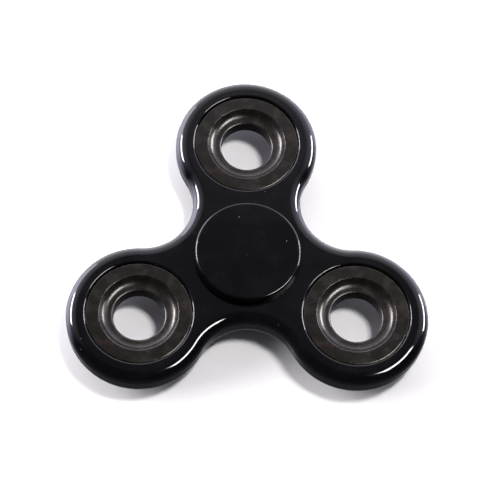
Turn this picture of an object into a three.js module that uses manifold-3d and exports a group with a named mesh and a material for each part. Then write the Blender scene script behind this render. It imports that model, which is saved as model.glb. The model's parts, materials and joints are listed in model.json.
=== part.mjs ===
// Three-armed fidget spinner, in millimetres.
// A moulded body carries a coved steel weight in each arm and a 608-size ball bearing at its centre.
// Two finger caps are pressed into the bearing's inner ring, one from each side.
// Z is the spin axis, and Z = 0 is the face of the lower cap that the spinner rests on.

import * as THREE from 'three';
import { mergeVertices } from 'three/addons/utils/BufferGeometryUtils.js';
import Module from 'manifold-3d';

const wasm = await Module();
wasm.setup();

// Body: three round lobes joined by hollow necks.
const ARM_COUNT = 3;
const ARM_LENGTH = 25.7; // spin axis to the axis of each weight
const FIRST_ARM_ANGLE = Math.PI / 2;
const LOBE_RADIUS = 14.9;
const NECK_RADIUS = 10.5; // hollow between two arms, tangent to both lobes
const BODY_THICKNESS = 7.0;
const EDGE_RADIUS = 2.4; // rounding all round the outline, top and bottom
const WEIGHT_MOUTH_CHAMFER = 0.5; // at both ends of each weight's seat in the body
const BEARING_MOUTH_CHAMFER = 0.15; // the caps cover the ends of the bearing's seat

// Weights and bearing share one outside radius, and so one size of seat.
const SEATED_RADIUS = 11.0;
const SEAT_GAP = 0.05;
const CORNER_CHAMFER = 0.3;

// Weight ring: a flat face, a hollow cove that levels out towards the bore, then the bore; both sides alike.
const WEIGHT_HEIGHT = 6.2;
const COVE_RADIUS = 8.25; // where the flat face breaks into the cove
const COVE_BEND_RADIUS = 6.85; // where the cove's steepest slope would meet the level of its floor
const COVE_FOOT_RADIUS = 5.7; // where the cove's floor turns down into the bore
const COVE_DEPTH = 1.42;
const WEIGHT_BORE_RADIUS = 5.3;
const BORE_LEAD_IN = 0.4; // height of the slope from the cove's floor to the bore

// 608 ball bearing.
const BEARING_WIDTH = 7.0;
const BEARING_BORE_RADIUS = 4.0;
const BALL_COUNT = 7;
const PITCH_RADIUS = 7.5;
const BALL_RADIUS = 1.93;
const RACE_GROOVE_RADIUS = 2.02;
const OUTER_SHOULDER_RADIUS = 9.0;
const INNER_SHOULDER_RADIUS = 6.05;
const RING_CHAMFER = 0.2;

// Shields: one in a recess at each side of the outer ring, its middle stepped outwards.
const SHIELD_RECESS_RADIUS = 9.75;
const SHIELD_RECESS_DEPTH = 0.75;
const SHIELD_THICKNESS = 0.3;
const SHIELD_STEP = 0.2;
const SHIELD_STEP_OUTER_RADIUS = 8.9;
const SHIELD_STEP_INNER_RADIUS = 8.6;
const SHIELD_BORE_RADIUS = 6.3;
const SHIELD_GAP = 0.05; // to the recess that holds it

// Pressed ribbon cage: two halves riveted together between the balls.
const CAGE_INNER_RADIUS = 6.5;
const CAGE_OUTER_RADIUS = 8.5;
const CAGE_SHEET = 0.35;
const CAGE_HALF_GAP = 0.02; // from the middle plane to each half
const CAGE_POCKET_RADIUS = 2.1;
const RIVET_RADIUS = 0.32;
const RIVET_HOLE_RADIUS = 0.36;
const RIVET_HEAD_RADIUS = 0.6;
const RIVET_HEAD_HEIGHT = 0.2;
const RIVET_HEAD_GAP = 0.03;

// Finger caps: a flat disc, a shoulder that sits on the inner ring and a stud in its bore.
const CAP_RADIUS = 11.2; // at its lower edge; the side draws in a little towards the face
const CAP_FACE_RADIUS = 10.9;
const CAP_PROUD = 2.3; // height of a cap above the body's face
const CAP_BODY_GAP = 0.25;
const CAP_EDGE_RADIUS = 0.5;
const CAP_RIM_WIDTH = 1.25;
const CAP_RECESS_DEPTH = 0.9; // moulded ring-shaped recess under the disc
const CAP_SHOULDER_RADIUS = 5.6;
const CAP_SHOULDER_GAP = 0.03;
const STUD_RADIUS = 3.95;
const STUD_CHAMFER = 0.3;
const STUD_END_GAP = 0.15; // from the middle plane to the end of each stud

// Steps around and along the round shapes.
const ROUND_STEPS = 32;
const CAGE_STEPS = 4 * BALL_COUNT;
const LOBE_STEPS = 22;
const NECK_STEPS = 9;
const EDGE_STEPS = 3;
const GROOVE_STEPS = 6;
const COVE_STEPS = 4;
const BALL_STEPS = 12;
const BALL_RINGS = 8;
const CUP_STEPS = 10;
const CUP_RINGS = 6;
const RIVET_STEPS = 8;

const TAU = 2 * Math.PI;
const HALF_BODY = BODY_THICKNESS / 2;
const HALF_BEARING = BEARING_WIDTH / 2;
const HALF_WEIGHT = WEIGHT_HEIGHT / 2;
const CAP_TOP = HALF_BODY + CAP_PROUD;
const CUT_MARGIN = 1.0; // how far a cutter runs past the faces it cuts
const WELD_DISTANCE = 1e-4;

const blackPlastic = new THREE.MeshStandardMaterial({ color: 0x0b0b0d, roughness: 0.12, metalness: 0 });
const capPlastic = new THREE.MeshStandardMaterial({ color: 0x0d0d0e, roughness: 0.3, metalness: 0 });
const gunmetal = new THREE.MeshStandardMaterial({ color: 0x3a3533, roughness: 0.35, metalness: 0.9 });
const bearingSteel = new THREE.MeshStandardMaterial({ color: 0xb9babd, roughness: 0.18, metalness: 1 });
const pressedSteel = new THREE.MeshStandardMaterial({ color: 0x9a9b9d, roughness: 0.4, metalness: 1 });

// Points along an arc, both ends included.
function arcPoints(centreX, centreY, radius, startAngle, endAngle, steps) {
  const points = [];
  for (let i = 0; i <= steps; i += 1) {
    const angle = startAngle + ((endAngle - startAngle) * i) / steps;
    points.push([centreX + radius * Math.cos(angle), centreY + radius * Math.sin(angle)]);
  }
  return points;
}

function vectors(points) {
  return points.map(([x, y]) => new THREE.Vector2(x, y));
}

function mirrored(profile) {
  return profile.map(([radius, height]) => [radius, -height]).reverse();
}

// A round piece about Z from [radius, height] points, starting and ending on the axis.
function turned(profile, steps = ROUND_STEPS) {
  const geometry = new THREE.LatheGeometry(vectors(profile), steps);
  geometry.rotateX(Math.PI / 2);
  return geometry;
}

// A ring about Z from [radius, height] points that go up the outside and down the inside.
function turnedRing(profile, steps = ROUND_STEPS) {
  return turned([...profile, profile[0]], steps);
}

function sphere(radius, steps, rings) {
  const geometry = new THREE.SphereGeometry(radius, steps, rings);
  geometry.rotateX(Math.PI / 2);
  return geometry;
}

// Closed geometry to a solid that can be joined and cut.
function solidOf(geometry) {
  const bare = geometry.clone();
  bare.deleteAttribute('normal');
  bare.deleteAttribute('uv');
  const merged = mergeVertices(bare, WELD_DISTANCE);
  const corners = merged.index.array;
  const triangles = [];
  for (let i = 0; i < corners.length; i += 3) {
    const [a, b, c] = corners.slice(i, i + 3);
    if (a !== b && b !== c && c !== a) {
      triangles.push(a, b, c);
    }
  }
  const mesh = new wasm.Mesh({
    numProp: 3,
    vertProperties: new Float32Array(merged.attributes.position.array),
    triVerts: new Uint32Array(triangles),
  });
  return new wasm.Manifold(mesh);
}

function geometryOf(solid) {
  const mesh = solid.getMesh();
  const geometry = new THREE.BufferGeometry();
  geometry.setAttribute('position', new THREE.BufferAttribute(new Float32Array(mesh.vertProperties), 3));
  geometry.setIndex(new THREE.BufferAttribute(new Uint32Array(mesh.triVerts), 1));
  geometry.computeVertexNormals();
  return geometry;
}

function armAngle(arm) {
  return FIRST_ARM_ANGLE + (TAU * arm) / ARM_COUNT;
}

function ballAngle(index) {
  return (TAU * index) / BALL_COUNT;
}

// Each rivet is halfway between two balls.
function rivetAngle(index) {
  return ballAngle(index + 0.5);
}

// The body's outline: a lobe around each weight, then a hollow neck to the next lobe.
function bodyOutline() {
  const halfArmAngle = Math.PI / ARM_COUNT;
  const halfLobeSpacing = ARM_LENGTH * Math.sin(halfArmAngle);
  const rise = Math.sqrt((LOBE_RADIUS + NECK_RADIUS) ** 2 - halfLobeSpacing ** 2);
  const neckDistance = ARM_LENGTH * Math.cos(halfArmAngle) + rise;
  const neckHalfAngle = Math.atan2(halfLobeSpacing, rise);
  const lobeHalfAngle = halfArmAngle + neckHalfAngle;
  const points = [];
  for (let arm = 0; arm < ARM_COUNT; arm += 1) {
    const lobe = armAngle(arm);
    const lobeX = ARM_LENGTH * Math.cos(lobe);
    const lobeY = ARM_LENGTH * Math.sin(lobe);
    const lobeStart = lobe - lobeHalfAngle;
    const lobeEnd = lobe + lobeHalfAngle;
    points.push(...arcPoints(lobeX, lobeY, LOBE_RADIUS, lobeStart, lobeEnd, LOBE_STEPS));
    const neck = lobe + halfArmAngle;
    const neckX = neckDistance * Math.cos(neck);
    const neckY = neckDistance * Math.sin(neck);
    const neckStart = neck + Math.PI + neckHalfAngle;
    const neckEnd = neck + Math.PI - neckHalfAngle;
    const neckArc = arcPoints(neckX, neckY, NECK_RADIUS, neckStart, neckEnd, NECK_STEPS);
    points.push(...neckArc.slice(1, -1));
  }
  return vectors(points);
}

// One seat right through the body, opening out at both faces.
function seatCutter(chamfer) {
  const radius = SEATED_RADIUS + SEAT_GAP;
  const wallEnd = HALF_BODY - chamfer;
  const end = HALF_BODY + CUT_MARGIN;
  const endRadius = radius + chamfer + CUT_MARGIN;
  const half = [
    [radius, wallEnd],
    [endRadius, end],
    [0, end],
  ];
  return solidOf(turned([...mirrored(half), ...half]));
}

function bodyGeometry() {
  const blank = new THREE.ExtrudeGeometry(new THREE.Shape(bodyOutline()), {
    depth: BODY_THICKNESS - 2 * EDGE_RADIUS,
    bevelThickness: EDGE_RADIUS,
    bevelSize: EDGE_RADIUS,
    bevelOffset: -EDGE_RADIUS,
    bevelSegments: EDGE_STEPS,
  });
  blank.translate(0, 0, EDGE_RADIUS - HALF_BODY);
  const seat = seatCutter(WEIGHT_MOUTH_CHAMFER);
  let body = solidOf(blank).subtract(seatCutter(BEARING_MOUTH_CHAMFER));
  for (let arm = 0; arm < ARM_COUNT; arm += 1) {
    const angle = armAngle(arm);
    body = body.subtract(seat.translate(ARM_LENGTH * Math.cos(angle), ARM_LENGTH * Math.sin(angle), 0));
  }
  return geometryOf(body);
}

// The upper side goes from its outer edge over the face and down the cove to the bore.
function weightGeometry() {
  const floor = HALF_WEIGHT - COVE_DEPTH;
  const lip = new THREE.Vector2(COVE_RADIUS, HALF_WEIGHT);
  const bend = new THREE.Vector2(COVE_BEND_RADIUS, floor);
  const foot = new THREE.Vector2(COVE_FOOT_RADIUS, floor);
  const cove = new THREE.QuadraticBezierCurve(lip, bend, foot).getPoints(COVE_STEPS);
  const upper = [
    [SEATED_RADIUS, HALF_WEIGHT - CORNER_CHAMFER],
    [SEATED_RADIUS - CORNER_CHAMFER, HALF_WEIGHT],
    ...cove.map((point) => [point.x, point.y]),
    [WEIGHT_BORE_RADIUS, floor - BORE_LEAD_IN],
  ];
  return turnedRing([...upper, ...mirrored(upper)]);
}

// Half the angle that a ball groove covers where it is cut into a shoulder.
function grooveHalfAngle(shoulderRadius) {
  return Math.acos(Math.abs(shoulderRadius - PITCH_RADIUS) / RACE_GROOVE_RADIUS);
}

function bearingOuterRingGeometry() {
  const recessFloor = HALF_BEARING - SHIELD_RECESS_DEPTH;
  const halfAngle = grooveHalfAngle(OUTER_SHOULDER_RADIUS);
  const upper = [
    [SEATED_RADIUS, HALF_BEARING - CORNER_CHAMFER],
    [SEATED_RADIUS - CORNER_CHAMFER, HALF_BEARING],
    [SHIELD_RECESS_RADIUS, HALF_BEARING],
    [SHIELD_RECESS_RADIUS, recessFloor],
    [OUTER_SHOULDER_RADIUS, recessFloor],
  ];
  const groove = arcPoints(PITCH_RADIUS, 0, RACE_GROOVE_RADIUS, halfAngle, -halfAngle, GROOVE_STEPS);
  return turnedRing([...upper, ...groove, ...mirrored(upper)]);
}

function bearingInnerRingGeometry() {
  const halfAngle = grooveHalfAngle(INNER_SHOULDER_RADIUS);
  const upper = [
    [INNER_SHOULDER_RADIUS, HALF_BEARING - RING_CHAMFER],
    [INNER_SHOULDER_RADIUS - RING_CHAMFER, HALF_BEARING],
    [BEARING_BORE_RADIUS + RING_CHAMFER, HALF_BEARING],
    [BEARING_BORE_RADIUS, HALF_BEARING - RING_CHAMFER],
  ];
  const groove = arcPoints(
    PITCH_RADIUS, 0, RACE_GROOVE_RADIUS, Math.PI + halfAngle, Math.PI - halfAngle, GROOVE_STEPS);
  return turnedRing([...groove, ...upper, ...mirrored(upper)]);
}

// The upper shield; the lower one is the same piece turned over.
function shieldGeometry() {
  const bottom = HALF_BEARING - SHIELD_RECESS_DEPTH + SHIELD_GAP;
  const top = bottom + SHIELD_THICKNESS;
  return turnedRing([
    [SHIELD_RECESS_RADIUS - SHIELD_GAP, bottom],
    [SHIELD_RECESS_RADIUS - SHIELD_GAP, top],
    [SHIELD_STEP_OUTER_RADIUS, top],
    [SHIELD_STEP_INNER_RADIUS, top + SHIELD_STEP],
    [SHIELD_BORE_RADIUS, top + SHIELD_STEP],
    [SHIELD_BORE_RADIUS, bottom + SHIELD_STEP],
    [SHIELD_STEP_INNER_RADIUS, bottom + SHIELD_STEP],
    [SHIELD_STEP_OUTER_RADIUS, bottom],
  ]);
}

// Copies of a solid set out on the pitch circle, joined into one tool.
function onPitchCircle(solid, firstIndex) {
  const degrees = 360 / BALL_COUNT;
  const first = solid.translate(PITCH_RADIUS, 0, 0);
  let joined = first.rotate(0, 0, degrees * firstIndex);
  for (let i = 1; i < BALL_COUNT; i += 1) {
    joined = joined.add(first.rotate(0, 0, degrees * (firstIndex + i)));
  }
  return joined;
}

// The space between the cage's two edges, from its lower face up to a height.
function cageRing(top) {
  const profile = [
    [CAGE_OUTER_RADIUS, CAGE_HALF_GAP],
    [CAGE_OUTER_RADIUS, top],
    [CAGE_INNER_RADIUS, top],
    [CAGE_INNER_RADIUS, CAGE_HALF_GAP],
  ];
  return solidOf(turnedRing(profile, CAGE_STEPS));
}

// The upper half of the cage: flat pads between the balls, and a cup over each ball.
function cageGeometry() {
  const cupRadius = CAGE_POCKET_RADIUS + CAGE_SHEET;
  const padTop = CAGE_HALF_GAP + CAGE_SHEET;
  const pads = cageRing(padTop);
  const balls = onPitchCircle(solidOf(sphere(cupRadius, CUP_STEPS, CUP_RINGS)), 0);
  const cups = balls.intersect(cageRing(cupRadius + CUT_MARGIN));
  const pockets = onPitchCircle(solidOf(sphere(CAGE_POCKET_RADIUS, CUP_STEPS, CUP_RINGS)), 0);
  const rivetHole = new THREE.CylinderGeometry(RIVET_HOLE_RADIUS, RIVET_HOLE_RADIUS, CUT_MARGIN, RIVET_STEPS);
  rivetHole.rotateX(Math.PI / 2);
  const rivetHoles = onPitchCircle(solidOf(rivetHole), 0.5);
  return geometryOf(pads.add(cups).subtract(pockets).subtract(rivetHoles));
}

function rivetGeometry() {
  const headBottom = CAGE_HALF_GAP + CAGE_SHEET + RIVET_HEAD_GAP;
  const headTop = headBottom + RIVET_HEAD_HEIGHT;
  const upper = [
    [RIVET_RADIUS, headBottom],
    [RIVET_HEAD_RADIUS, headBottom],
    [RIVET_HEAD_RADIUS, headTop],
    [0, headTop],
  ];
  return turned([...mirrored(upper), ...upper], RIVET_STEPS);
}

// The upper cap; the lower one is the same piece turned over.
function capGeometry() {
  const discBottom = HALF_BODY + CAP_BODY_GAP;
  const recessTop = discBottom + CAP_RECESS_DEPTH;
  const edgeCentreRadius = CAP_FACE_RADIUS - CAP_EDGE_RADIUS;
  const edgeCentreHeight = CAP_TOP - CAP_EDGE_RADIUS;
  return turned([
    [0, STUD_END_GAP],
    [STUD_RADIUS - STUD_CHAMFER, STUD_END_GAP],
    [STUD_RADIUS, STUD_END_GAP + STUD_CHAMFER],
    [STUD_RADIUS, HALF_BEARING + CAP_SHOULDER_GAP],
    [CAP_SHOULDER_RADIUS, HALF_BEARING + CAP_SHOULDER_GAP],
    [CAP_SHOULDER_RADIUS, recessTop],
    [CAP_RADIUS - CAP_RIM_WIDTH, recessTop],
    [CAP_RADIUS - CAP_RIM_WIDTH, discBottom],
    [CAP_RADIUS, discBottom],
    ...arcPoints(edgeCentreRadius, edgeCentreHeight, CAP_EDGE_RADIUS, 0, Math.PI / 2, EDGE_STEPS),
    [0, CAP_TOP],
  ]);
}

function named(name, geometry, material) {
  const mesh = new THREE.Mesh(geometry, material);
  mesh.name = name;
  return mesh;
}

// The same piece on both sides of the middle plane, the lower one turned over.
function upperAndLower(name, geometry, material) {
  const upper = named(`${name}_upper`, geometry, material);
  const lower = named(`${name}_lower`, geometry, material);
  lower.rotation.x = Math.PI;
  return [upper, lower];
}

// A ring of copies about Z, each turned to face outwards.
function ringOfCopies(name, geometry, material, count, radius, angleOf) {
  const copies = [];
  for (let i = 0; i < count; i += 1) {
    const copy = named(`${name}_${i + 1}`, geometry, material);
    const angle = angleOf(i);
    copy.position.set(radius * Math.cos(angle), radius * Math.sin(angle), 0);
    copy.rotation.z = angle;
    copies.push(copy);
  }
  return copies;
}

function weights() {
  const group = new THREE.Group();
  const copies = ringOfCopies('weight_ring', weightGeometry(), gunmetal, ARM_COUNT, ARM_LENGTH, armAngle);
  for (const weight of copies) {
    weight.rotation.z = 0; // its facets stay in line with those of its seat
    group.add(weight);
  }
  return group;
}

function bearing() {
  const group = new THREE.Group();
  group.add(named('bearing_outer_ring', bearingOuterRingGeometry(), bearingSteel));
  group.add(named('bearing_inner_ring', bearingInnerRingGeometry(), bearingSteel));
  group.add(...upperAndLower('bearing_shield', shieldGeometry(), pressedSteel));
  const ball = sphere(BALL_RADIUS, BALL_STEPS, BALL_RINGS);
  group.add(...ringOfCopies('bearing_ball', ball, bearingSteel, BALL_COUNT, PITCH_RADIUS, ballAngle));
  group.add(...upperAndLower('bearing_cage', cageGeometry(), pressedSteel));
  const rivet = rivetGeometry();
  group.add(...ringOfCopies('cage_rivet', rivet, pressedSteel, BALL_COUNT, PITCH_RADIUS, rivetAngle));
  return group;
}

const group = new THREE.Group();
group.add(named('spinner_body', bodyGeometry(), blackPlastic));
group.add(weights());
group.add(bearing());
group.add(...upperAndLower('finger_cap', capGeometry(), capPlastic));
group.position.z = CAP_TOP;
group.updateMatrixWorld(true);

export default group;
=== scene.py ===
"""Looks of the three-armed fidget spinner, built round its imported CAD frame. Metres, Z up, spin axis on Z."""

import json
import math

import bpy
import numpy as np
from mathutils import Matrix, Vector
from mathutils.geometry import delaunay_2d_cdt


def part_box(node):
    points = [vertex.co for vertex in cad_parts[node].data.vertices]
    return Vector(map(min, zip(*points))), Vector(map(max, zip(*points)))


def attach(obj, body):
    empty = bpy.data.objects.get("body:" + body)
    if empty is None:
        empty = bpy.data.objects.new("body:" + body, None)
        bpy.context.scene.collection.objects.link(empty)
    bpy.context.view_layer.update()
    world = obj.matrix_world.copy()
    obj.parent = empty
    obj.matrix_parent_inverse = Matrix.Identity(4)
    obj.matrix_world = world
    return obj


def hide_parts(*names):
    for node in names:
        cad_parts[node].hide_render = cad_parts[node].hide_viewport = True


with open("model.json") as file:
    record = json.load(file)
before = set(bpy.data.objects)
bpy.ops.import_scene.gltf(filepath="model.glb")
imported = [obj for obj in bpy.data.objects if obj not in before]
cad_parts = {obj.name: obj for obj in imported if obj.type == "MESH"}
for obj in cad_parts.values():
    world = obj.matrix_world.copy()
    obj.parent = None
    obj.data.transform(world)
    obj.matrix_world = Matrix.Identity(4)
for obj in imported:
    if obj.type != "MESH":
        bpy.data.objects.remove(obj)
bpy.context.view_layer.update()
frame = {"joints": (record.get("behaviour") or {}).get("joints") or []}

MM = 0.001
TAU = 2 * math.pi

# Sizes and places that the frame gives.
body_low, body_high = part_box("spinner_body")
cap_low, cap_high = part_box("finger_cap_upper")
weight_low, weight_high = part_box("weight_ring_1")
inner_low, inner_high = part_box("bearing_inner_ring")
shield_low, shield_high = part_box("bearing_shield_upper")
_, cage_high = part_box("bearing_cage_upper")
CAGE_OUTER_RADIUS = cage_high[0]
SHIELD_OUTER_RADIUS = shield_high[0]
OBJECT_HEIGHT = cap_high[2]
MID_HEIGHT = OBJECT_HEIGHT / 2
CENTRE = (0, 0, MID_HEIGHT)
HALF_BODY = (body_high[2] - body_low[2]) / 2
HALF_WEIGHT = (weight_high[2] - weight_low[2]) / 2
HALF_BEARING = (inner_high[2] - inner_low[2]) / 2
SEATED_RADIUS = (weight_high[0] - weight_low[0]) / 2
CAP_RADIUS = (cap_high[0] - cap_low[0]) / 2
ARM_LENGTH = (weight_low[1] + weight_high[1]) / 2
LOBE_RADIUS = body_high[1] - ARM_LENGTH
BALL_JOINTS = {joint["name"]: joint for joint in frame["joints"] if joint["name"].startswith("ball_")}
BALL_CENTRES = [BALL_JOINTS[name]["pos_m"] for name in sorted(BALL_JOINTS)]
BALL_COUNT = len(BALL_CENTRES)
PITCH_RADIUS = math.hypot(BALL_CENTRES[0][0], BALL_CENTRES[0][1])
ARM_COUNT = 3

# Sizes that only the looks need.
NECK_RADIUS = 10.5 * MM
EDGE_RADIUS = 2.4 * MM
WEIGHT_MOUTH_RADIUS = 0.38 * MM
BEARING_MOUTH_RADIUS = 0.12 * MM
SEAT_GAP = 0.05 * MM
PARTING_WIDTH = 0.2 * MM
PARTING_DEPTH = 0.08 * MM
WEIGHT_EDGE_RADIUS = 0.4 * MM
COVE_RADIUS = 8.2 * MM
COVE_LIP_RADIUS = 0.14 * MM
COVE_BEND_RADIUS = 7.1 * MM
COVE_FILLET = 1.9 * MM
COVE_DEPTH = 1.4 * MM
COVE_FLOOR_FALL = 0.06 * MM
WEIGHT_BORE_RADIUS = 5.3 * MM
WEIGHT_BORE_LIP_RADIUS = 0.5 * MM
CAP_FACE_RADIUS = 10.78 * MM
CAP_EDGE_RADIUS = 0.5 * MM
CAP_BODY_GAP = 0.25 * MM
CAP_RECESS_DEPTH = 0.9 * MM
CAP_RIM_WIDTH = 1.25 * MM
CAP_SHOULDER_RADIUS = 5.6 * MM
CAP_SHOULDER_GAP = 0.03 * MM
STUD_RADIUS = 3.95 * MM
STUD_END_GAP = 0.15 * MM
RACE_GROOVE_RADIUS = 2.02 * MM
OUTER_SHOULDER_RADIUS = 9.0 * MM
INNER_SHOULDER_RADIUS = 6.05 * MM
BORE_RADIUS = 4.0 * MM
SHIELD_RECESS_RADIUS = 9.75 * MM
SHIELD_RECESS_DEPTH = 0.75 * MM
SHIELD_THICKNESS = 0.3 * MM
SHIELD_STEP_RADIUS = 8.9 * MM
SHIELD_BORE_RADIUS = 6.3 * MM
BALL_RADIUS = 1.93 * MM
CAGE_INNER_RADIUS = 6.5 * MM
CAGE_SHEET = 0.35 * MM
CAGE_HALF_GAP = 0.02 * MM
CAGE_POCKET_RADIUS = 2.1 * MM
CAGE_FILLET = 0.4 * MM
RIVET_RADIUS = 0.32 * MM
RIVET_HOLE_RADIUS = 0.36 * MM
RIVET_HEAD_HEIGHT = 0.2 * MM
LIGHT_DISTANCE = 0.75


# ---------------------------------------------------------------- profiles


def rounded(corners, closed=False, step=math.radians(9)):
    """Rows (x, y, normal x, normal y) along a polyline of (x, y) or (x, y, radius) corners.
    The normals point to the right of the way it runs, and step is the widest turn between two rows."""
    rows = []
    count = len(corners)
    for i, corner in enumerate(corners):
        place = Vector(corner[:2])
        before = place - Vector(corners[i - 1][:2]) if closed or i > 0 else None
        after = Vector(corners[(i + 1) % count][:2]) - place if closed or i < count - 1 else None
        first = (before or after).normalized()
        last = (after or before).normalized()
        turn = math.atan2(first.x * last.y - first.y * last.x, first.dot(last))
        radius = corner[2] if len(corner) > 2 else 0.0
        if radius == 0.0 or abs(turn) < 1e-6:
            rows.append((place.x, place.y, first.y, -first.x))
            continue
        start = place - first * (radius * math.tan(abs(turn) / 2))
        centre = start + Vector((-first.y, first.x)) * math.copysign(radius, turn)
        steps = max(3, math.ceil(abs(turn) / step))
        for k in range(steps + 1):
            spin = Matrix.Rotation(turn * k / steps, 2)
            point = centre + spin @ (start - centre)
            travel = spin @ first
            rows.append((point.x, point.y, travel.y, -travel.x))
    kept = [rows[0]]
    for row in rows[1:]:
        if math.hypot(row[0] - kept[-1][0], row[1] - kept[-1][1]) > 1e-7:
            kept.append(row)
    return kept


def upright_centre(low, high):
    """The middle of a node's box seen from above, at the spinner's mid height."""
    return ((low[0] + high[0]) / 2, (low[1] + high[1]) / 2, MID_HEIGHT)


def mirrored(corners):
    """The corners in the opposite order, with their heights turned over."""
    return [(c[0], -c[1], *c[2:]) for c in reversed(corners)]


# ---------------------------------------------------------------- meshes


class Surface:
    """Vertices with their own normals, and faces, gathered into one mesh."""

    def __init__(self):
        self.points = []
        self.normals = []
        self.faces = []

    def add(self, point, normal):
        self.points.append(tuple(point))
        self.normals.append(tuple(normal))
        return len(self.points) - 1

    def join(self, first, second, closed=True):
        """Quads between two rows of vertex numbers. From outside, the second row is left of the first."""
        count = len(first)
        for i in range(count if closed else count - 1):
            j = (i + 1) % count
            ring = [first[i], first[j], second[j], second[i]]
            ring = [v for k, v in enumerate(ring) if v != ring[k - 1]]
            if len(ring) > 2:
                self.faces.append(ring)

    def flip(self):
        """Turns the upper one of a pair of pieces into the lower one."""
        self.points = [(x, y, OBJECT_HEIGHT - z) for x, y, z in self.points]
        self.normals = [(x, y, -z) for x, y, z in self.normals]
        self.faces = [face[::-1] for face in self.faces]

    def piece(self, name, material, body, slot, node, centre=CENTRE):
        """Makes the object. For the material, its mesh keeps each point's place from centre in mm."""
        mesh = bpy.data.meshes.new(name)
        mesh.from_pydata(self.points, [], self.faces)
        mesh.validate()
        mesh.shade_smooth()
        mesh.normals_split_custom_set_from_vertices(self.normals)
        mesh.materials.append(material)
        local = mesh.attributes.new("local", "FLOAT_VECTOR", "POINT")
        places = (np.array(self.points) - np.array(centre)) / MM
        local.data.foreach_set("vector", places.astype(np.float32).ravel())
        piece = bpy.data.objects.new(name, mesh)
        bpy.context.scene.collection.objects.link(piece)
        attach(piece, body)
        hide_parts(node)


def revolve(surface, profile, centre=CENTRE, steps=192, closed=False):
    """Turns profile rows (radius, height, normal out, normal up) about a vertical axis through centre."""
    rings = []
    for radius, height, normal_out, normal_up in profile:
        on_axis = radius < 1e-9
        ring = []
        for k in range(steps):
            if on_axis and ring:
                ring.append(ring[0])
                continue
            angle = TAU * k / steps
            c, s = math.cos(angle), math.sin(angle)
            point = (centre[0] + radius * c, centre[1] + radius * s, centre[2] + height)
            normal = (normal_out * c, normal_out * s, normal_up)
            if on_axis:
                normal = (0, 0, 1 if normal_up > 0 else -1)
            ring.append(surface.add(point, normal))
        rings.append(ring)
    if closed:
        rings.append(rings[0])
    for lower, upper in zip(rings, rings[1:]):
        surface.join(lower, upper)
    return rings


# ---------------------------------------------------------------- body


def arm_angle(arm):
    return math.pi / 2 + TAU * arm / ARM_COUNT


def arm_centre(arm):
    return Vector((ARM_LENGTH * math.cos(arm_angle(arm)), ARM_LENGTH * math.sin(arm_angle(arm))))


def body_outline(lobe_steps=168, neck_steps=96):
    """Points (x, y, normal x, normal y) round the body: a lobe at each arm, then a hollow neck."""
    half_arm = math.pi / ARM_COUNT
    half_spacing = ARM_LENGTH * math.sin(half_arm)
    rise = math.sqrt((LOBE_RADIUS + NECK_RADIUS) ** 2 - half_spacing**2)
    neck_distance = ARM_LENGTH * math.cos(half_arm) + rise
    neck_half = math.atan2(half_spacing, rise)
    lobe_half = half_arm + neck_half
    outline = []
    for arm in range(ARM_COUNT):
        lobe = arm_angle(arm)
        centre = arm_centre(arm)
        for k in range(lobe_steps + 1):
            angle = lobe - lobe_half + 2 * lobe_half * k / lobe_steps
            out = Vector((math.cos(angle), math.sin(angle)))
            outline.append((*(centre + out * LOBE_RADIUS), *out))
        neck = lobe + half_arm
        centre = Vector((math.cos(neck), math.sin(neck))) * neck_distance
        for k in range(1, neck_steps):
            angle = neck + math.pi + neck_half - 2 * neck_half * k / neck_steps
            out = Vector((math.cos(angle), math.sin(angle)))
            outline.append((*(centre + out * NECK_RADIUS), *-out))
    return outline


def inside(point, loop):
    """True if a flat point lies inside a closed loop of flat points."""
    x, y = point
    hit = False
    for (x0, y0), (x1, y1) in zip(loop, loop[1:] + loop[:1]):
        if (y0 > y) != (y1 > y) and x < x0 + (y - y0) * (x1 - x0) / (y1 - y0):
            hit = not hit
    return hit


def fill_flat(surface, outer, holes, up):
    """Triangles over the flat between an outer row of vertices and the rows round its holes."""
    rows = [outer, *holes]
    numbers = [v for row in rows for v in row]
    flat = [Vector(surface.points[v][:2]) for v in numbers]
    edges = []
    start = 0
    for row in rows:
        edges += [(start + k, start + (k + 1) % len(row)) for k in range(len(row))]
        start += len(row)
    _, _, triangles, origins, _, _ = delaunay_2d_cdt(flat, edges, [], 0, 1e-9)
    loops = [[tuple(surface.points[v][:2]) for v in row] for row in rows]
    for triangle in triangles:
        corners = [numbers[origins[k][0]] for k in triangle]
        middle = sum((Vector(surface.points[v][:2]) for v in corners), Vector((0, 0))) / 3
        if not inside(middle, loops[0]) or any(inside(middle, hole) for hole in loops[1:]):
            continue
        a, b, c = (Vector(surface.points[v][:2]) for v in corners)
        turn = (b - a).cross(c - a)
        surface.faces.append(corners if (turn > 0) == up else corners[::-1])


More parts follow.
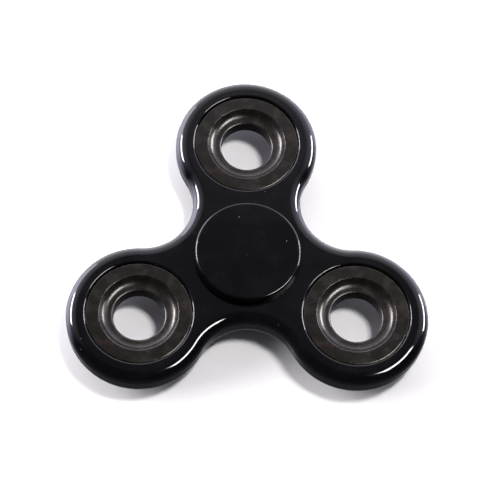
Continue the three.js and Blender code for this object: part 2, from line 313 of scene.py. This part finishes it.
def build_body(material):
    """The moulding: a rounded edge with a fine parting groove, and four seats with softened mouths."""
    surface = Surface()
    outline = body_outline()
    half_groove = PARTING_WIDTH / 2
    section = rounded([
        (-EDGE_RADIUS, -HALF_BODY),
        (0, -HALF_BODY, EDGE_RADIUS),
        (0, -half_groove, PARTING_DEPTH),
        (-PARTING_DEPTH, 0, PARTING_DEPTH),
        (0, half_groove, PARTING_DEPTH),
        (0, HALF_BODY, EDGE_RADIUS),
        (-EDGE_RADIUS, HALF_BODY),
    ], step=math.radians(4.5))
    rows = []
    for out, up, normal_out, normal_up in section:
        row = []
        for x, y, nx, ny in outline:
            point = (x + nx * out, y + ny * out, MID_HEIGHT + up)
            row.append(surface.add(point, (nx * normal_out, ny * normal_out, normal_up)))
        rows.append(row)
    for lower, upper in zip(rows, rows[1:]):
        surface.join(lower, upper)
    seats = [(Vector((0, 0)), BEARING_MOUTH_RADIUS)]
    seats += [(arm_centre(arm), WEIGHT_MOUTH_RADIUS) for arm in range(ARM_COUNT)]
    mouths = []
    for centre, mouth in seats:
        radius = SEATED_RADIUS + SEAT_GAP
        seat = rounded([
            (radius + mouth, HALF_BODY),
            (radius, HALF_BODY, mouth),
            (radius, -HALF_BODY, mouth),
            (radius + mouth, -HALF_BODY),
        ])
        mouths.append(revolve(surface, seat, (*centre, MID_HEIGHT)))
    fill_flat(surface, rows[-1], [rings[0] for rings in mouths], up=True)
    fill_flat(surface, rows[0], [rings[-1] for rings in mouths], up=False)
    surface.piece("body_shell", material, "rotor", "body_plastic", "spinner_body")


# ---------------------------------------------------------------- weights and caps


def build_weight(number, material):
    """A ring with a flat face, a hollow cove and a plain bore, alike on both sides."""
    node = f"weight_ring_{number}"
    centre = upright_centre(*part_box(node))
    floor = HALF_WEIGHT - COVE_DEPTH
    upper = [
        (SEATED_RADIUS, HALF_WEIGHT, WEIGHT_EDGE_RADIUS),
        (COVE_RADIUS, HALF_WEIGHT, COVE_LIP_RADIUS),
        (COVE_BEND_RADIUS, floor, COVE_FILLET),
        (WEIGHT_BORE_RADIUS, floor - COVE_FLOOR_FALL, WEIGHT_BORE_LIP_RADIUS),
    ]
    surface = Surface()
    section = rounded([*upper, *mirrored(upper)], closed=True, step=math.radians(5))
    revolve(surface, section, centre, closed=True)
    surface.piece(f"weight_{number}", material, "rotor", "weight_metal", node, centre)


def build_cap(side, material):
    """A disc, hollow underneath, with a shoulder on the inner ring and a stud into its bore."""
    bottom = HALF_BODY + CAP_BODY_GAP
    recess = bottom + CAP_RECESS_DEPTH
    rim = CAP_RADIUS - CAP_RIM_WIDTH
    shoulder = HALF_BEARING + CAP_SHOULDER_GAP
    corners = [
        (0, STUD_END_GAP),
        (STUD_RADIUS, STUD_END_GAP, 0.3 * MM),
        (STUD_RADIUS, shoulder, 0.02 * MM),
        (CAP_SHOULDER_RADIUS, shoulder, 0.1 * MM),
        (CAP_SHOULDER_RADIUS, recess, 0.2 * MM),
        (rim, recess, 0.2 * MM),
        (rim, bottom, 0.15 * MM),
        (CAP_RADIUS, bottom, 0.15 * MM),
        (CAP_FACE_RADIUS, MID_HEIGHT, CAP_EDGE_RADIUS),
        (0, MID_HEIGHT),
    ]
    surface = Surface()
    revolve(surface, rounded(corners), steps=160)
    if side == "lower":
        surface.flip()
    surface.piece(f"cap_{side}", material, "hub", "cap_plastic", f"finger_cap_{side}")


# ---------------------------------------------------------------- bearing


def groove(shoulder):
    """Corners of the ball groove between shoulders of this radius, from its upper edge to its lower."""
    reach = shoulder - PITCH_RADIUS
    edge = math.sqrt(RACE_GROOVE_RADIUS**2 - reach**2)
    half = math.atan2(edge, abs(reach))
    deepest = PITCH_RADIUS + math.copysign(RACE_GROOVE_RADIUS, reach)
    corner = RACE_GROOVE_RADIUS * math.tan(half / 2)
    return [
        (shoulder, edge),
        (deepest, corner, RACE_GROOVE_RADIUS),
        (deepest, -corner, RACE_GROOVE_RADIUS),
        (shoulder, -edge),
    ]


def build_outer_ring(material):
    """A race with a ball groove inside, and a recess above and below it for the shields."""
    recess_floor = HALF_BEARING - SHIELD_RECESS_DEPTH
    upper = [
        (SEATED_RADIUS, HALF_BEARING, 0.3 * MM),
        (SHIELD_RECESS_RADIUS, HALF_BEARING, 0.08 * MM),
        (SHIELD_RECESS_RADIUS, recess_floor, 0.05 * MM),
        (OUTER_SHOULDER_RADIUS, recess_floor, 0.1 * MM),
    ]
    corners = [*upper, *groove(OUTER_SHOULDER_RADIUS), *mirrored(upper)]
    surface = Surface()
    revolve(surface, rounded(corners, closed=True), steps=160, closed=True)
    surface.piece("race_outer", material, "rotor", "bearing_steel", "bearing_outer_ring")


def build_inner_ring(material):
    """A race with a ball groove outside and a plain bore."""
    upper = [
        (INNER_SHOULDER_RADIUS, HALF_BEARING, 0.2 * MM),
        (BORE_RADIUS, HALF_BEARING, 0.25 * MM),
    ]
    upwards = [(radius, -height, *rest) for radius, height, *rest in groove(INNER_SHOULDER_RADIUS)]
    corners = [*upper, *mirrored(upper), *upwards]
    surface = Surface()
    revolve(surface, rounded(corners, closed=True), steps=128, closed=True)
    surface.piece("race_inner", material, "hub", "bearing_steel", "bearing_inner_ring")


def build_shield(side, material):
    """A pressed plate: its edge is held in the outer ring, and its middle steps outwards over the cage."""
    bottom = shield_low[2] - MID_HEIGHT
    top = shield_high[2] - MID_HEIGHT
    step = top - bottom - SHIELD_THICKNESS
    raised = SHIELD_STEP_RADIUS - 1.5 * step
    edge, bend, lip = 0.1 * MM, 0.25 * MM, 0.08 * MM
    corners = [
        (SHIELD_OUTER_RADIUS, bottom, edge),
        (SHIELD_OUTER_RADIUS, bottom + SHIELD_THICKNESS, edge),
        (SHIELD_STEP_RADIUS, bottom + SHIELD_THICKNESS, bend),
        (raised, top, bend),
        (SHIELD_BORE_RADIUS, top, lip),
        (SHIELD_BORE_RADIUS, top - SHIELD_THICKNESS, lip),
        (raised, bottom + step, bend),
        (SHIELD_STEP_RADIUS, bottom, bend),
    ]
    surface = Surface()
    revolve(surface, rounded(corners, closed=True), steps=128, closed=True)
    if side == "lower":
        surface.flip()
    surface.piece(f"shield_{side}", material, "rotor", "pressed_steel", f"bearing_shield_{side}")


def build_ball(number, material):
    """A sphere in rows from pole to pole; the first ball's number is 1."""
    centre = BALL_CENTRES[number - 1]
    rows = 32
    profile = []
    for k in range(rows + 1):
        angle = math.pi * (k / rows - 0.5)
        out, up = math.cos(angle), math.sin(angle)
        profile.append((BALL_RADIUS * out if 0 < k < rows else 0.0, BALL_RADIUS * up, out, up))
    surface = Surface()
    revolve(surface, profile, centre, 2 * rows)
    name = f"ball_{number}"
    surface.piece(name, material, name, "bearing_steel", f"bearing_ball_{number}", centre)


def ball_angle(index):
    """Where a ball stands round the spin axis; the first ball's index is 0."""
    x, y, _ = BALL_CENTRES[index]
    return math.atan2(y, x)


def cup_path(offset, steps=9):
    """The cage sheet's middle line over one ball, offset from the pitch circle, foot to foot.
    Rows (along, up, normal along, normal up)."""
    arch = math.sqrt((CAGE_POCKET_RADIUS + CAGE_SHEET / 2) ** 2 - offset**2)
    rise = CAGE_HALF_GAP + CAGE_SHEET / 2 + CAGE_FILLET
    foot = math.sqrt((arch + CAGE_FILLET) ** 2 - rise**2)
    lean = math.atan2(rise, foot)
    rows = []
    for k in range(steps):
        angle = -math.pi / 2 + (math.pi / 2 - lean) * k / steps
        c, s = math.cos(angle), math.sin(angle)
        rows.append((-foot + CAGE_FILLET * c, rise + CAGE_FILLET * s, -c, -s))
    for k in range(2 * steps + 1):
        angle = math.pi - lean - (math.pi / 2 - lean) * k / (2 * steps)
        c, s = math.cos(angle), math.sin(angle)
        rows.append((arch * c, arch * s, c, s))
    other_side = [(-along, up, -lean_along, lean_up) for along, up, lean_along, lean_up in rows[-2::-1]]
    return rows + other_side


def build_cage(side, material):
    """Half of the ribbon cage: a pressed sheet with a cup over each ball and a riveted flat between cups."""
    surface = Surface()
    width_steps = 8
    flat_steps = 6
    hole_steps = 24
    width = CAGE_OUTER_RADIUS - CAGE_INNER_RADIUS
    radii = [CAGE_INNER_RADIUS + width * k / width_steps for k in range(width_steps + 1)]
    half = CAGE_SHEET / 2
    spacing = TAU / BALL_COUNT
    heights = (CAGE_HALF_GAP, CAGE_HALF_GAP + CAGE_SHEET)

    def point(radius, angle, height):
        return (radius * math.cos(angle), radius * math.sin(angle), MID_HEIGHT + height)

    def sheet_grid(ball, face):
        """Rows of vertices over one cup, one row to each radius, on the sheet's upper or lower face."""
        grid = []
        for radius in radii:
            row = []
            for along, up, normal_along, normal_up in cup_path(radius - PITCH_RADIUS):
                along += face * half * normal_along
                angle = ball_angle(ball) + along / radius
                normal = (-math.sin(angle) * normal_along, math.cos(angle) * normal_along, normal_up)
                normal = tuple(face * n for n in normal)
                row.append(surface.add(point(radius, angle, up + face * half * normal_up), normal))
            grid.append(row)
        return grid

    def rim(radius, out):
        """The cut edge at one radius, between the sheet's two faces."""
        loops = ([], [])
        path = cup_path(radius - PITCH_RADIUS)
        foot = path[-1][0] / radius
        for ball in range(BALL_COUNT):
            for along, up, normal_along, normal_up in path:
                for loop, face in zip(loops, (-1, 1)):
                    angle = ball_angle(ball) + (along + face * half * normal_along) / radius
                    place = point(radius, angle, up + face * half * normal_up)
                    loop.append(surface.add(place, (out * math.cos(angle), out * math.sin(angle), 0)))
            for k in range(1, flat_steps):
                angle = ball_angle(ball) + foot + (spacing - 2 * foot) * k / flat_steps
                for loop, height in zip(loops, heights):
                    place = point(radius, angle, height)
                    loop.append(surface.add(place, (out * math.cos(angle), out * math.sin(angle), 0)))
        surface.join(*(loops if out > 0 else loops[::-1]))

    for height, face in zip(heights, (-1, 1)):
        grids = [sheet_grid(ball, face) for ball in range(BALL_COUNT)]
        for grid in grids:
            for inner, outer in zip(grid, grid[1:]):
                surface.join(*((outer, inner) if face > 0 else (inner, outer)), closed=False)
        for ball in range(BALL_COUNT):
            here, there = grids[ball], grids[(ball + 1) % BALL_COUNT]
            middle = ball_angle(ball) + spacing / 2
            edges = []
            for radius in (radii[-1], radii[0]):
                half_width = spacing / 2 - cup_path(radius - PITCH_RADIUS)[-1][0] / radius
                angles = [middle + half_width * (2 * k / flat_steps - 1) for k in range(1, flat_steps)]
                edges.append([surface.add(point(radius, angle, height), (0, 0, face)) for angle in angles])
            border = [row[-1] for row in here] + edges[0]
            border += [row[0] for row in reversed(there)] + edges[1][::-1]
            x, y, _ = point(PITCH_RADIUS, middle, 0)
            hole = []
            for k in range(hole_steps):
                c, s = math.cos(TAU * k / hole_steps), math.sin(TAU * k / hole_steps)
                place = (x + RIVET_HOLE_RADIUS * c, y + RIVET_HOLE_RADIUS * s, MID_HEIGHT + height)
                hole.append(surface.add(place, (0, 0, face)))
            fill_flat(surface, border, [hole], up=face > 0)
    rim(radii[0], -1)
    rim(radii[-1], 1)
    for ball in range(BALL_COUNT):
        x, y, _ = point(PITCH_RADIUS, ball_angle(ball) + spacing / 2, 0)
        wall = [(RIVET_HOLE_RADIUS, height, -1, 0) for height in reversed(heights)]
        revolve(surface, wall, (x, y, MID_HEIGHT), hole_steps)
    if side == "lower":
        surface.flip()
    surface.piece(f"cage_{side}", material, "cage", "pressed_steel", f"bearing_cage_{side}")


def build_rivet(number, material):
    """A shank with a domed head at each end."""
    low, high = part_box(f"cage_rivet_{number}")
    centre = upright_centre(low, high)
    head_radius = (high[0] - low[0]) / 2
    top = high[2] - MID_HEIGHT
    upper = [
        (RIVET_RADIUS, top - RIVET_HEAD_HEIGHT),
        (head_radius, top - RIVET_HEAD_HEIGHT, 0.03 * MM),
        (head_radius, top - 0.4 * RIVET_HEAD_HEIGHT, 0.1 * MM),
        (0.5 * head_radius, top, 0.3 * MM),
        (0, top),
    ]
    surface = Surface()
    revolve(surface, rounded([*mirrored(upper), *upper]), centre, 32)
    surface.piece(f"rivet_{number}", material, "cage", "pressed_steel", f"cage_rivet_{number}", centre)


# ---------------------------------------------------------------- materials


class Graph:
    """Short calls for the nodes of one material or world."""

    def __init__(self, tree):
        self.tree = tree
        tree.nodes.clear()

    def feed(self, socket, value):
        if isinstance(value, bpy.types.NodeSocket):
            self.tree.links.new(value, socket)
        elif value is not None:
            socket.default_value = value

    def node(self, kind, *values, **settings):
        """Adds a node, sets its properties and feeds its inputs in order."""
        node = self.tree.nodes.new(f"ShaderNode{kind}")
        for key, value in settings.items():
            setattr(node, key, value)
        sockets = [socket for socket in node.inputs if socket.enabled]
        for socket, value in zip(sockets, values):
            self.feed(socket, value)
        return node

    def math(self, operation, *values):
        return self.node("Math", *values, operation=operation).outputs[0]

    def plus(self, first, second):
        return self.math("ADD", first, second)

    def minus(self, first, second):
        return self.math("SUBTRACT", first, second)

    def times(self, first, second):
        return self.math("MULTIPLY", first, second)

    def larger(self, first, second):
        return self.math("MAXIMUM", first, second)

    def remap(self, value, low, high, to_low=0.0, to_high=1.0):
        """Turns values from low to high into to_low to to_high, smoothly, and holds them outside that."""
        node = self.node("MapRange", value, low, high, to_low, to_high, interpolation_type="SMOOTHSTEP")
        return node.outputs[0]

    def mix(self, factor, first, second):
        """The first colour where factor is 0 and the second where it is 1."""
        node = self.node("Mix", factor, first, second, data_type="RGBA")
        return next(socket for socket in node.outputs if socket.enabled)

    def noise(self, place, scale, detail=2.0, roughness=0.5):
        return self.node("TexNoise", place, scale, detail, roughness).outputs[0]

    def stretch(self, place, factors, turn=0.0):
        """The place turned about the vertical and scaled along each axis."""
        return self.node("Mapping", place, None, (0, 0, turn), factors, vector_type="POINT").outputs[0]

    def local(self):
        """The place on the piece in millimetres from its own centre."""
        return self.node("Attribute", attribute_name="local", attribute_type="GEOMETRY").outputs["Vector"]

    def specks(self, place, scale, share, radius):
        """1 on small round specks in a share of the cells, 0 elsewhere; radius is in cells."""
        cells = self.node("TexVoronoi", place, scale)
        chance = self.node("SeparateColor", cells.outputs["Color"]).outputs[0]
        pick = self.math("GREATER_THAN", chance, 1 - share)
        dot = self.remap(cells.outputs["Distance"], 0.5 * radius, radius, 1.0, 0.0)
        return self.times(pick, dot)

    def hairlines(self, place, turn, spacing, width):
        """1 on long fine scratches that run about one way, 0 elsewhere."""
        along = self.stretch(place, (0.05 / spacing, 1 / spacing, 1 / spacing), turn)
        grain = self.noise(along, 1.0, 1.0)
        line = self.remap(self.math("ABSOLUTE", self.minus(grain, 0.5)), 0.0, width, 1.0, 0.0)
        patch = self.remap(self.noise(place, 0.25, 2.0), 0.52, 0.62)
        return self.times(line, patch)

    def bump(self, height, distance, below=None):
        """Height from 0 to 1 as a relief of the given depth in metres, over another relief."""
        node = self.node("Bump")
        self.feed(node.inputs["Distance"], distance)
        self.feed(node.inputs["Height"], height)
        self.feed(node.inputs["Normal"], below)
        return node.outputs[0]

    def surface(self, **inputs):
        """Ends the material in a principled shader with these inputs."""
        shader = self.node("BsdfPrincipled")
        for name, value in inputs.items():
            self.feed(shader.inputs[name.replace("_", " ").title().replace("Ior", "IOR")], value)
        output = self.node("OutputMaterial")
        self.feed(output.inputs["Surface"], shader.outputs[0])


def new_material(name):
    material = bpy.data.materials.new(name)
    material.use_nodes = True
    return material, Graph(material.node_tree)


def turned(g, place, fineness):
    """The radius in millimetres, and a grain that runs round the axis."""
    split = g.node("SeparateXYZ", place)
    flat = g.node("CombineXYZ", split.outputs[0], split.outputs[1], 0.0).outputs[0]
    radius = g.node("VectorMath", flat, operation="LENGTH").outputs["Value"]
    across = g.node("CombineXYZ", radius, split.outputs[2], 0.0).outputs[0]
    wander = g.node("VectorMath", flat, None, None, 0.02, operation="SCALE").outputs[0]
    grain = g.noise(g.node("VectorMath", across, wander, operation="ADD").outputs[0], fineness, 3.0, 0.6)
    return radius, grain


def glossy_black():
    """Moulded black ABS with a high polish: faint waviness, hairlines, finger smudges and dust."""
    material, g = new_material("black_abs")
    place = g.local()
    smudge = g.remap(g.noise(place, 0.13, 3.0, 0.6), 0.42, 0.68)
    lines = g.larger(g.hairlines(place, 0.5, 0.5, 0.012), g.hairlines(place, 2.2, 0.6, 0.010))
    dust = g.specks(place, 0.8, 0.10, 0.07)
    clean, smeared, fluff = (0.0010, 0.0010, 0.0014, 1), (0.0018, 0.0017, 0.0025, 1), (0.30, 0.28, 0.26, 1)
    colour = g.mix(smudge, clean, smeared)
    colour = g.mix(g.times(dust, 0.55), colour, fluff)
    roughness = g.plus(g.remap(smudge, 0.0, 1.0, 0.055, 0.115), g.times(lines, 0.12))
    roughness = g.plus(roughness, g.times(dust, 0.5))
    normal = g.bump(g.noise(place, 0.3, 1.0), 6e-6)
    normal = g.bump(g.noise(place, 1.4, 2.0), 0.7e-6, normal)
    normal = g.bump(g.minus(dust, g.times(lines, 0.1)), 5e-6, normal)
    g.surface(base_color=colour, roughness=roughness, normal=normal, ior=1.5)
    return material


def satin_black():
    """The caps' black ABS: smudges and dust, a finer grain than the body's polish, and a dull side wall."""
    material, g = new_material("cap_abs")
    place = g.local()
    smudge = g.remap(g.noise(place, 0.16, 4.0, 0.6), 0.40, 0.70)
    dust = g.specks(place, 0.62, 0.32, 0.06)
    lines = g.larger(g.hairlines(place, 1.1, 0.7, 0.012), g.hairlines(place, 2.7, 0.5, 0.010))
    clean, smeared, fluff = (0.0005, 0.0005, 0.0006, 1), (0.0017, 0.0016, 0.0026, 1), (0.34, 0.32, 0.30, 1)
    colour = g.mix(smudge, clean, smeared)
    colour = g.mix(g.times(dust, 0.8), colour, fluff)
    roughness = g.plus(g.remap(smudge, 0.0, 1.0, 0.09, 0.13), g.times(lines, 0.08))
    radius, _ = turned(g, place, 1.0)
    face_edge = CAP_FACE_RADIUS / MM
    wall = g.remap(radius, face_edge - 0.04, face_edge + 0.06)
    roughness = g.plus(roughness, g.times(wall, 0.12))
    gloss = g.remap(wall, 0.0, 1.0, 0.5, 0.12)
    normal = g.bump(g.noise(place, 0.35, 1.0), 3e-6)
    normal = g.bump(g.noise(place, 7.0, 2.0), 0.5e-6, normal)
    normal = g.bump(g.minus(dust, g.times(lines, 0.1)), 6e-6, normal)
    g.surface(base_color=colour, roughness=roughness, normal=normal, specular_ior_level=gloss, ior=1.46)
    return material


def weight_finish():
    """Blackened turned steel: a brown-black film with turning marks, stains, pits, nicks and some rust."""
    material, g = new_material("blackened_steel")
    place = g.local()
    radius, grain = turned(g, place, 4.0)
    outer_edge, cove_edge, bore_edge = SEATED_RADIUS / MM, COVE_RADIUS / MM, WEIGHT_BORE_RADIUS / MM
    stain = g.remap(g.noise(place, 0.35, 4.0, 0.6), 0.40, 0.66)
    pits = g.specks(place, 1.7, 0.16, 0.16)
    nicks = g.specks(place, 0.9, 0.08, 0.09)
    rust = g.times(g.remap(g.noise(place, 0.5, 4.0, 0.6), 0.55, 0.73), 0.45)
    lip = g.remap(g.math("ABSOLUTE", g.minus(radius, cove_edge - 0.05)), 0.02, 0.16, 1.0, 0.0)
    rim = g.remap(radius, outer_edge - 0.28, outer_edge - 0.14)
    worn = g.times(g.larger(lip, rim), g.remap(g.noise(place, 2.2, 2.0), 0.60, 0.70))
    bare = g.larger(g.times(worn, 0.25), g.times(nicks, 0.8))
    colour = g.mix(stain, (0.0036, 0.0028, 0.0022, 1), (0.0066, 0.0055, 0.0045, 1))
    colour = g.mix(g.times(g.remap(grain, 0.35, 0.65), 0.3), colour, (0.0032, 0.0026, 0.0022, 1))
    colour = g.mix(rust, colour, (0.016, 0.0070, 0.0040, 1))
    colour = g.mix(g.times(pits, 0.6), colour, (0.002, 0.0017, 0.0015, 1))
    colour = g.mix(bare, colour, (0.30, 0.28, 0.26, 1))
    bore = g.remap(radius, bore_edge + 0.02, bore_edge + 0.25, 1.0, 0.0)
    cove = g.remap(radius, cove_edge - 0.2, cove_edge, 1.0, 0.0)
    roughness = g.plus(g.remap(grain, 0.3, 0.7, 0.20, 0.24), g.times(stain, 0.05))
    roughness = g.plus(roughness, g.times(cove, 0.05))
    roughness = g.plus(roughness, g.times(bore, 0.25))
    gloss = g.times(g.remap(bore, 0.0, 1.0, 1.0, 0.25), g.remap(stain, 0.0, 1.0, 0.42, 0.54))
    normal = g.bump(grain, 0.15e-6)
    normal = g.bump(g.noise(place, 0.7, 1.0), 1.5e-6, normal)
    normal = g.bump(g.plus(pits, nicks), -2e-6, normal)
    film = g.mix(rust, (1.0, 0.95, 0.91, 1), (1.0, 0.80, 0.66, 1))
    g.surface(
        base_color=colour, metallic=bare, roughness=roughness, specular_ior_level=gloss, specular_tint=film,
        normal=normal, ior=1.6)
    return material


def steel(name, colour, roughness, fineness):
    """Plain steel with marks that run round the axis, a light oil stain and a few dark pits."""
    material, g = new_material(name)
    place = g.local()
    _, grain = turned(g, place, fineness)
    stain = g.remap(g.noise(place, 0.5, 3.0), 0.42, 0.66)
    pits = g.specks(place, 2.2, 0.05, 0.15)
    oiled = (colour[0] * 0.78, colour[1] * 0.74, colour[2] * 0.68, 1)
    tone = g.mix(stain, (*colour, 1), oiled)
    tone = g.mix(g.times(pits, 0.6), tone, (0.12, 0.11, 0.10, 1))
    polish = g.plus(g.remap(grain, 0.3, 0.7, roughness, roughness + 0.12), g.times(stain, 0.08))
    normal = g.bump(grain, 0.6e-6)
    g.surface(base_color=tone, metallic=1.0, roughness=polish, normal=g.bump(pits, -3e-6, normal))
    return material


def floor_paper():
    """Smooth pale card with a faint tooth."""
    material, g = new_material("floor_paper")
    place = g.node("TexCoord").outputs["Object"]
    tooth = g.noise(place, 900.0, 3.0)
    colour = g.mix(tooth, (0.83, 0.83, 0.83, 1), (0.87, 0.87, 0.87, 1))
    g.surface(base_color=colour, roughness=0.85, specular_ior_level=0.2, normal=g.bump(tooth, 2e-5))
    return material


# ---------------------------------------------------------------- stage


def build_camera():
    """The camera stands in front of the spinner and a little to the left, looking down at it."""
    azimuth = math.radians(-6.22)
    elevation = math.radians(66.7)
    roll = math.radians(-6.34)
    distance = 416 * MM
    aim = Vector((-0.88 * MM, 2.21 * MM, 0))
    turn = Matrix.Rotation(azimuth, 3, "Z")
    target = turn @ aim + Vector((0, 0, body_high[2]))
    back = turn @ Vector((0, -math.cos(elevation), math.sin(elevation)))
    right = turn @ Vector((1, 0, 0))
    up = back.cross(right)
    c, s = math.cos(roll), math.sin(roll)
    camera_x = right * c - up * s
    camera_y = right * s + up * c
    data = bpy.data.cameras.new("camera")
    data.sensor_width = 36
    data.lens = 148.1
    data.clip_start = 0.01
    data.clip_end = 20
    camera = bpy.data.objects.new("camera", data)
    place = Matrix((camera_x, camera_y, back)).transposed().to_4x4()
    place.translation = target + back * distance
    camera.matrix_world = place
    bpy.context.scene.collection.objects.link(camera)
    bpy.context.scene.camera = camera


def build_floor():
    """A large card. Polished faces mirror the world's lower half in place of it."""
    reach = 1.5
    corners = [(-reach, -reach, 0), (reach, -reach, 0), (reach, reach, 0), (-reach, reach, 0)]
    mesh = bpy.data.meshes.new("floor")
    mesh.from_pydata(corners, [], [(0, 1, 2, 3)])
    mesh.materials.append(floor_paper())
    floor = bpy.data.objects.new("floor", mesh)
    floor.visible_glossy = False
    bpy.context.scene.collection.objects.link(floor)


def softbox(name, azimuth, low, high, width, radiance, colour, shine=True, fill=True):
    """A lit panel facing the spinner. Azimuth is in degrees from the back, rising to the right.
    low and high are the elevations of its edges and width is how wide it looks, all in degrees.
    shine lets polished faces mirror it, and fill lets it light matt ones."""
    turn = math.radians(azimuth)
    rise = math.radians((low + high) / 2)
    towards = Vector((math.sin(turn) * math.cos(rise), math.cos(turn) * math.cos(rise), math.sin(rise)))
    place = towards * LIGHT_DISTANCE
    data = bpy.data.lights.new(name, "AREA")
    data.shape = "RECTANGLE"
    data.size = 2 * LIGHT_DISTANCE * math.tan(math.radians(width) / 2)
    data.size_y = 2 * LIGHT_DISTANCE * math.tan(math.radians(high - low) / 2)
    data.energy = radiance * math.pi * data.size * data.size_y
    data.color = colour
    light = bpy.data.objects.new(name, data)
    light.location = place + Vector((0, 0, MID_HEIGHT))
    light.rotation_euler = place.to_track_quat("Z", "Y").to_euler()
    light.visible_camera = False
    light.visible_glossy = shine
    light.visible_diffuse = fill
    bpy.context.scene.collection.objects.link(light)


def build_world():
    """A room. The wall behind the spinner is pale, fades upwards, is brightest low on the left and dims
    at the far right. It is nearly dark in front and overhead, with a faint glow from below."""
    world = bpy.data.worlds.new("studio")
    world.use_nodes = True
    g = Graph(world.node_tree)
    side, back, up = g.node("SeparateXYZ", g.node("TexCoord").outputs["Generated"]).outputs
    wall = g.node("ValToRGB", up)
    stops = wall.color_ramp.elements
    stops[0].position, stops[0].color = 0.0, (1, 1, 1, 1)
    stops[1].position, stops[1].color = 1.0, (0.05, 0.05, 0.05, 1)
    fade = {17: 0.68, 32: 0.52, 45: 0.42, 53: 0.32, 58: 0.25, 62: 0.17, 64.5: 0.085, 67: 0.045, 70: 0.03}
    for elevation, grey in fade.items():
        stops.new(math.sin(math.radians(elevation))).color = (grey, grey, grey, 1)
    left = g.times(g.remap(side, -0.80, -0.25, 0.9, 0.0), g.remap(up, -0.1, 0.05, 1.0, 0.0))
    level = g.times(g.plus(wall.outputs[0], left), g.remap(up, -0.80, -0.25, 0.2, 1.0))
    level = g.times(level, g.remap(back, -0.16, 0.45, 0.0, 2.5))
    level = g.times(level, g.remap(side, 0.78, 0.92, 1.0, 0.25))
    level = g.plus(level, g.remap(up, -0.3, 0.0, 0.10, 0.05))
    tint = g.mix(g.remap(g.math("ABSOLUTE", side), 0.3, 0.9), (1.0, 0.97, 1.08, 1), (1.0, 0.94, 1.28, 1))
    output = g.node("OutputWorld")
    g.feed(output.inputs["Surface"], g.node("Background", tint, level).outputs[0])
    bpy.context.scene.world = world


def build_lights():
    """Panels that the polish mirrors as streaks, panels that only light matt faces, and the room."""
    white = (1.0, 0.98, 0.98)
    lavender = (1.0, 0.93, 1.05)
    softbox("key", 110, 52, 64, 28, 30.0, white, fill=False)
    softbox("overhead", 70, 67, 78, 9, 79.0, white, shine=False)
    softbox("back_fill", 0, 22, 45, 80, 2.7, white, shine=False)
    softbox("left_fill", -84, 14, 34, 44, 17.0, white, shine=False)
    softbox("left_window", -67, 13, 27, 25, 34.0, white, fill=False)
    softbox("left_wall", -43, 0, 20, 28, 4.0, lavender, fill=False)
    softbox("right_window", 69, 7, 19, 28, 36.0, white, fill=False)
    build_world()
    bpy.context.scene.view_settings.view_transform = "Standard"


build_camera()
build_floor()
build_lights()

black = glossy_black()
cap_black = satin_black()
gunmetal = weight_finish()
ground = steel("ground_steel", (0.60, 0.59, 0.57), 0.16, 5.0)
pressed = steel("pressed_steel", (0.52, 0.52, 0.51), 0.34, 1.6)

build_body(black)
for number in range(1, ARM_COUNT + 1):
    build_weight(number, gunmetal)
build_outer_ring(ground)
build_inner_ring(ground)
for side in ("upper", "lower"):
    build_cap(side, cap_black)
    build_shield(side, pressed)
    build_cage(side, pressed)
for number in range(1, BALL_COUNT + 1):
    build_ball(number, ground)
    build_rivet(number, pressed)
